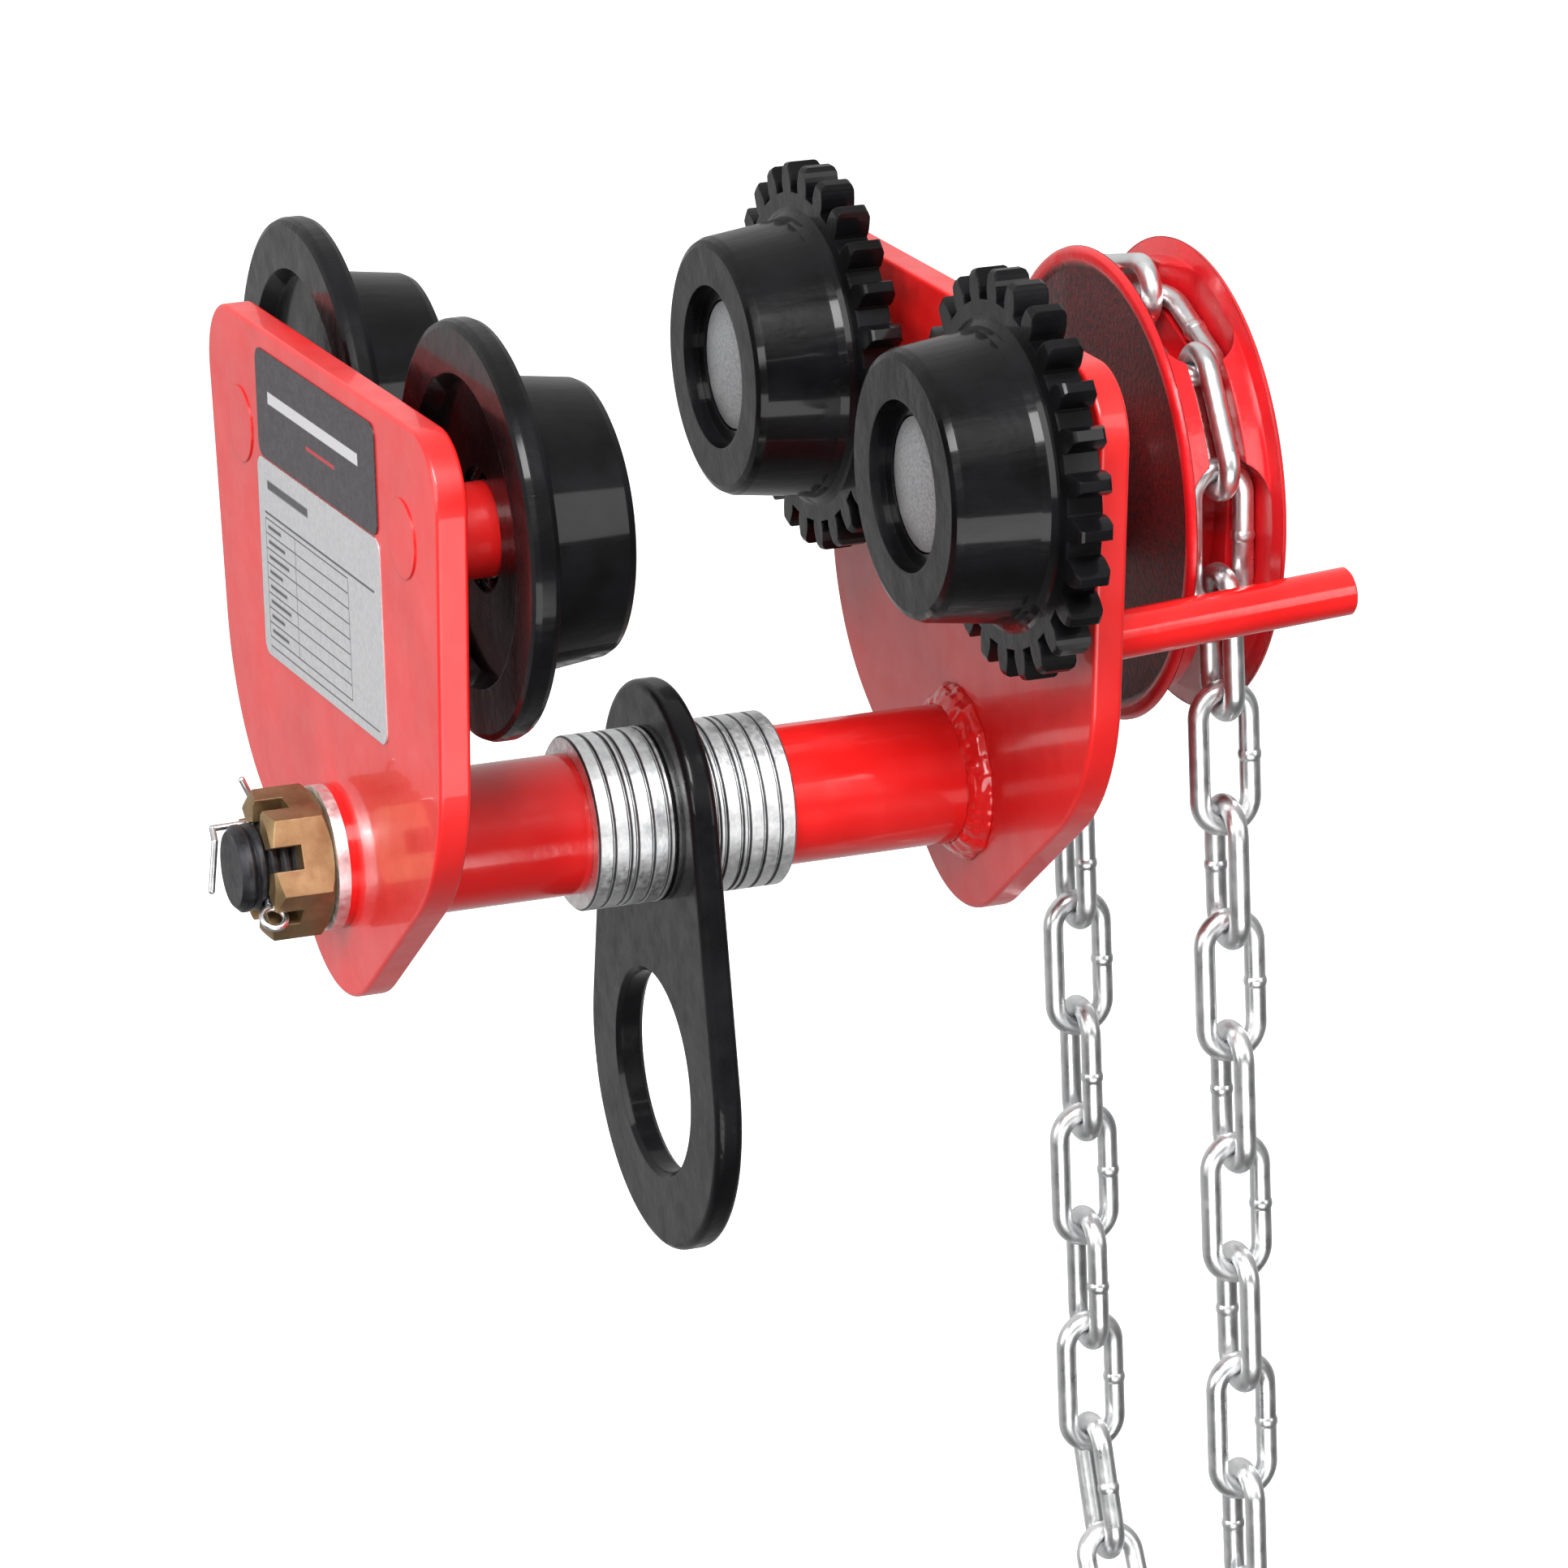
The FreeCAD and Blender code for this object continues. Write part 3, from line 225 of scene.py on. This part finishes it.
class Foil:
    """Places on a label as fractions of its width and height, from its top left as it is read."""

    def __init__(self, shader, node):
        self.s = shader
        turn = shader.node("VectorRotate", {"Vector": shader.coords, "Center": tuple(BOLT), "Angle": -TILT},
                           rotation_type="X_AXIS")
        part = shader.node("SeparateXYZ", {0: turn.outputs[0]})
        low, high = LABELS[node]
        self.size = high[0] - low[0], high[1] - low[1]
        self.u = shader.spread(part.outputs[1], high[0], low[0])
        self.v = shader.spread(part.outputs[2], high[1], low[1])

    def block(self, u0, v0, u1, v1, soft=0.00012):
        """1 inside a rectangle, with edges of a given softness in metres."""
        s = self.s
        value = None
        for at, lo, hi, size in ((self.u, u0, u1, self.size[0]), (self.v, v0, v1, self.size[1])):
            off = s.math("ABSOLUTE", s.math("SUBTRACT", at, (lo + hi) / 2))
            inside = s.spread(off, (hi - lo) / 2 - soft / size, (hi - lo) / 2 + soft / size, 1.0, 0.0)
            value = inside if value is None else s.math("MULTIPLY", value, inside)
        return value

    def any_of(self, blocks):
        value = None
        for one in blocks:
            value = one if value is None else self.s.math("MAXIMUM", value, one)
        return value


def upper_label():
    """Dark foil with fine flecks, a plain pale bar and a short red one under it."""
    s = Shader("upper label foil", Coat_Weight=0.25, Coat_Roughness=0.3, IOR=1.45, Specular_IOR_Level=0.3)
    foil = Foil(s, "upper_label")
    fleck = s.spread(s.noise(1500, 3), 0.35, 0.75)
    ground = s.mix(fleck, (0.022, 0.019, 0.022), (0.050, 0.043, 0.048))
    marked = s.mix(foil.block(0.10, 0.36, 0.86, 0.47), ground, (0.55, 0.54, 0.55))
    s.colour(s.mix(foil.block(0.42, 0.62, 0.66, 0.655), marked, (0.42, 0.02, 0.03)))
    s.roughness(s.spread(s.noise(500, 3), 0.3, 0.7, 0.38, 0.5))
    return s.bump((s.noise(1500, 2), 0.15, 0.00003))


def rating_label():
    """Silver foil with an empty ruled table under a heading bar."""
    s = Shader("rating label foil", Metallic=0.25, IOR=1.45, Coat_Weight=0.2, Coat_Roughness=0.3)
    foil = Foil(s, "rating_label")
    left, right, top, foot = 0.05, 0.735, 0.27, 0.90
    rows = 8
    thin = 0.0038
    lines = [foil.block(left, top - 0.006, 0.95, top + 0.006), foil.block(left, 0.945, 0.95, 0.953)]
    for k in range(rows + 1):
        v = top + 0.03 + (foot - top - 0.03) * k / rows
        lines.append(foil.block(left, v - thin, right, v + thin, 0.00008))
    for u in (left, left + (right - left) * 0.36, right):
        lines.append(foil.block(u - 0.0018, top + 0.03, u + 0.0018, foot, 0.00008))
    for k in range(rows):
        v = top + 0.03 + (foot - top - 0.03) * (k + 0.5) / rows
        lines.append(foil.block(left + 0.02, v - 0.009, left + 0.13 + 0.03 * (k % 3), v + 0.009, 0.0002))
    lines.append(foil.block(0.08, 0.10, 0.42, 0.145, 0.0002))
    ground = s.mix(s.spread(s.noise(900, 3), 0.3, 0.7), (0.44, 0.44, 0.45), (0.53, 0.53, 0.54))
    s.colour(s.mix(foil.any_of(lines), ground, (0.05, 0.05, 0.055)))
    s.roughness(s.spread(s.noise(400, 3), 0.3, 0.7, 0.35, 0.45))
    return s.bump((s.noise(1800, 2), 0.1, 0.00002))


# ---- materials on the CAD nodes ----
def paint(names, material):
    for name in names:
        mesh = nodes[name].data
        mesh.materials.clear()
        mesh.materials.append(material)


def ending_with(kind):
    return [name for name in nodes if name.endswith(kind)]


plate_red = red_paint("side plate enamel", sag=0.35, edge=0.0006, rough=0.30)
tube_red = red_paint("tube enamel", sag=0.3, edge=0.0003, rough=0.12)
weld_red = red_paint("weld enamel", sag=0.6, edge=0.0, rough=0.12)
paint(["left_side_plate", "right_side_plate", "shaft_boss"], plate_red)
paint(["left_spacer_tube", "right_spacer_tube", "front_guide_rod", "back_guide_rod"], tube_red)
paint(["left_tube_weld", "right_tube_weld"], weld_red)
paint(ending_with("_axle"), plate_red)
paint(["hand_wheel"], red_casting())
paint(["hanger_plate"], black_enamel())
for end, y in (("front", -1), ("back", 1)):
    for side in ("left", "right"):
        centre = joint_at[f"{end}_{side}_wheel_spin"]
        wheel = f"{end}_{side}_wheel" if side == "left" else f"{end}_right_geared_wheel"
        paint([wheel], black_wheel(f"{end} {side} wheel black", centre))

washer_zinc = zinc("washer zinc", (0.70, 0.71, 0.72), (0.93, 0.93, 0.93), rough=(0.36, 0.55), grain=420,
                   bump=0.5, edge=0.0, shade_seam_r=WASHER_SEAM_R)
chain_zinc = zinc("chain zinc", (0.66, 0.67, 0.68), (0.93, 0.93, 0.93), rough=(0.26, 0.42), grain=150)
pin_zinc = zinc("pin zinc", (0.60, 0.60, 0.61), (0.78, 0.78, 0.78), rough=(0.25, 0.38), bump=0.05, edge=0.0)
yellow_zinc = zinc("yellow zinc", (0.24, 0.15, 0.07), (0.42, 0.29, 0.155), rough=(0.38, 0.58), grain=120)
black_oxide = plain_metal("oiled black oxide", (0.012, 0.012, 0.014), (0.045, 0.045, 0.05), 0.7, 0.34)
cap_grey = plain_metal("pressed grey cap", (0.26, 0.27, 0.28), (0.50, 0.51, 0.52), 0.4, 0.40,
                       grain=1700, bump=0.3)
bearing_steel = plain_metal("ground bearing steel", (0.50, 0.50, 0.51), (0.66, 0.66, 0.67), 1.0, 0.18)
spring_steel = plain_metal("blued spring steel", (0.06, 0.06, 0.065), (0.12, 0.12, 0.13), 0.9, 0.3)
bronze = plain_metal("bush bronze", (0.42, 0.25, 0.09), (0.58, 0.38, 0.16), 1.0, 0.3)
machined_steel = plain_metal("machined steel", (0.30, 0.30, 0.31), (0.46, 0.46, 0.47), 1.0, 0.28)

paint(ending_with("_washers") + ["nut_washer", "bolt_head_washer", "hand_wheel_washer"], washer_zinc)
paint(["hand_chain"], chain_zinc)
paint(["cotter_pin"], pin_zinc)
paint(["castle_nut"], yellow_zinc)
paint(["load_bolt"], black_oxide)
paint(ending_with("_dust_cap"), cap_grey)
paint(ending_with("_bearings") + ending_with("_inner_races"), bearing_steel)
paint(ending_with("circlip") + ending_with("_circlips"), spring_steel)
paint(["shaft_bush"], bronze)
paint(["pinion_shaft", "hand_wheel_key"], machined_steel)
paint(["upper_label"], upper_label())
paint(["rating_label"], rating_label())


# ---- weld beads ----
def weld_bead(name, centre, radius, leg, face_x, way, ripples, body, node=None):
    """A rippled fillet weld round a rod along X, where it meets the plate face at face_x.

    It builds up along way, rides body, and stands in for node where one is given.
    """
    around, across = 12 * ripples, 14
    buried = 0.3 * MM
    bm = bmesh.new()
    rings = []
    for i in range(around):
        angle = 2 * math.pi * i / around
        wander = 2.2 * noise.noise(Vector((2.5 * math.cos(angle), 2.5 * math.sin(angle), 90 * radius)))
        ring = []
        for j in range(across + 1):
            t = math.pi / 2 * j / across
            ripple = abs(math.sin(ripples * angle / 2 + wander + 0.9 * math.cos(t)))
            lump = noise.noise(Vector((5 * math.cos(angle), 5 * math.sin(angle), 2 * t + 40 * radius)))
            full = leg * (0.86 + 0.025 * ripple + 0.12 * lump) * (1 - 0.16 * math.sin(2 * t))
            ring.append((full * math.sin(t), radius + full * math.cos(t)))
        ring.append((-buried, radius - buried))
        rings.append([bm.verts.new((face_x + way * out, centre.y + r * math.cos(angle),
                                    centre.z + r * math.sin(angle))) for out, r in ring])
    for i, ring in enumerate(rings):
        following = rings[(i + 1) % around]
        for j, vert in enumerate(ring):
            k = (j + 1) % len(ring)
            bm.faces.new((vert, ring[k], following[k], following[j]))
    bmesh.ops.recalc_face_normals(bm, faces=bm.faces)
    for face in bm.faces:
        face.smooth = True
    mesh = bpy.data.meshes.new(name)
    bm.to_mesh(mesh)
    bm.free()
    mesh.materials.append(weld_red)
    piece = bpy.data.objects.new(name, mesh)
    bpy.context.scene.collection.objects.link(piece)
    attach(piece, body)
    if node:
        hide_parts(node)


def weld_beads():
    """Beads round both spacer tubes, both guide rods and the shaft's boss."""
    for side, body in (("left", "plain_side"), ("right", "drive_side")):
        node = f"{side}_tube_weld"
        low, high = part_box(node)
        leg = high.x - low.x
        radius = (high.y - low.y) / 2 - leg
        face, way = (low.x, 1) if side == "left" else (high.x, -1)
        weld_bead(f"{side}_weld_bead", BOLT, radius, leg, face, way, 34, body, node)
    for end in ("front", "back"):
        low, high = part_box(f"{end}_guide_rod")
        root = Vector((low.x, (low.y + high.y) / 2, low.z + (high.y - low.y) / 2))
        weld_bead(f"{end}_rod_bead", root, ROD_R, 3.4 * MM, low.x, 1, 17, "drive_side")
    low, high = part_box("shaft_boss")
    weld_bead("boss_bead", SHAFT, BOSS_R, 4.2 * MM, low.x, 1, 40, "drive_side")


weld_beads()


# ---- floor, lights and camera ----
def floor():
    """A white floor with a far round wall, seen only by the camera, so as not to wash out dark paint."""
    sides = 64
    far, high, drop = 12.0, 10.0, 0.30
    z = CAD_BOX[0].z - drop
    turns = [2 * math.pi * k / sides for k in range(sides)]
    verts = [(far * math.cos(a), far * math.sin(a), z + rise) for rise in (0.0, high) for a in turns]
    faces = [tuple(range(sides))]
    faces += [(k, (k + 1) % sides, sides + (k + 1) % sides, sides + k) for k in range(sides)]
    mesh = bpy.data.meshes.new("floor")
    mesh.from_pydata(verts, [], faces)
    plane = bpy.data.objects.new("floor", mesh)
    bpy.context.scene.collection.objects.link(plane)
    plane.visible_diffuse = False
    plane.visible_glossy = False
    plane.visible_shadow = False
    s = Shader("pale floor", Roughness=0.9, Emission_Strength=0.9)
    s.surface.inputs["Emission Color"].default_value = (1, 1, 1, 1)
    s.colour(s.mix(s.noise(3, 2), (0.86, 0.86, 0.86), (0.90, 0.90, 0.90)))
    mesh.materials.append(s.material)


def softbox(name, at, aim, size, power):
    """A rectangular area light, in metres and watts."""
    light = bpy.data.lights.new(name, "AREA")
    light.shape = "RECTANGLE"
    light.size, light.size_y = size
    light.energy = power
    box = bpy.data.objects.new(name, light)
    box.location = at
    box.rotation_euler = (Vector(aim) - Vector(at)).to_track_quat("-Z", "Y").to_euler()
    bpy.context.scene.collection.objects.link(box)


def studio():
    """Grey surroundings, lighter above and behind, and five soft boxes."""
    world = bpy.data.worlds.new("studio")
    bpy.context.scene.world = world
    world.use_nodes = True
    tree = world.node_tree
    back = tree.nodes["Background"]
    back.inputs["Strength"].default_value = 1.0
    coords = tree.nodes.new("ShaderNodeTexCoord")
    split = tree.nodes.new("ShaderNodeSeparateXYZ")
    tree.links.new(coords.outputs["Generated"], split.inputs[0])
    behind, above = [tree.nodes.new("ShaderNodeMapRange") for _ in range(2)]
    for ramp, source, values in ((behind, 1, (-0.2, 0.9, 0.12, 0.62)), (above, 2, (0.1, 0.9, 0.0, 0.32))):
        for key, value in zip(("From Min", "From Max", "To Min", "To Max"), values):
            ramp.inputs[key].default_value = value
        tree.links.new(split.outputs[source], ramp.inputs["Value"])
    total = tree.nodes.new("ShaderNodeMath")
    total.operation = "ADD"
    tree.links.new(behind.outputs[0], total.inputs[0])
    tree.links.new(above.outputs[0], total.inputs[1])
    tree.links.new(total.outputs[0], back.inputs["Color"])
    softbox("key", (-0.30, -1.0, 1.25), (0, 0, 0.08), (0.9, 0.6), 36)
    softbox("right", (0.85, -1.25, 0.52), (-0.03, 0, 0.12), (0.50, 0.90), 5)
    softbox("left", (-1.3, -0.1, 0.35), (0, 0, 0.08), (0.6, 0.9), 9)
    softbox("front left", (-1.0, -1.1, 0.55), (0.06, 0, 0.10), (0.5, 0.5), 7)
    softbox("low front", (-0.2, -1.2, -0.45), (0, 0, 0.05), (1.2, 0.5), 8)


def camera():
    """The photographer's view: a long lens from the front left, a little above."""
    azimuth, elevation, roll = map(math.radians, (21.068, 17.692, -1.028))
    lens = bpy.data.cameras.new("camera")
    lens.sensor_width = 36.0
    lens.lens = 160.93
    lens.clip_start = 0.05
    lens.clip_end = 60.0
    eye = bpy.data.objects.new("camera", lens)
    turn = Matrix.Rotation(-azimuth, 4, "Z") @ Matrix.Rotation(math.pi / 2 - elevation, 4, "X")
    place = Matrix.Translation((-0.47284, -1.29920, 0.50339))
    eye.matrix_world = place @ turn @ Matrix.Rotation(roll, 4, "Z")
    bpy.context.scene.collection.objects.link(eye)
    bpy.context.scene.camera = eye


floor()
studio()
camera()
bpy.context.scene.view_settings.view_transform = "Standard"
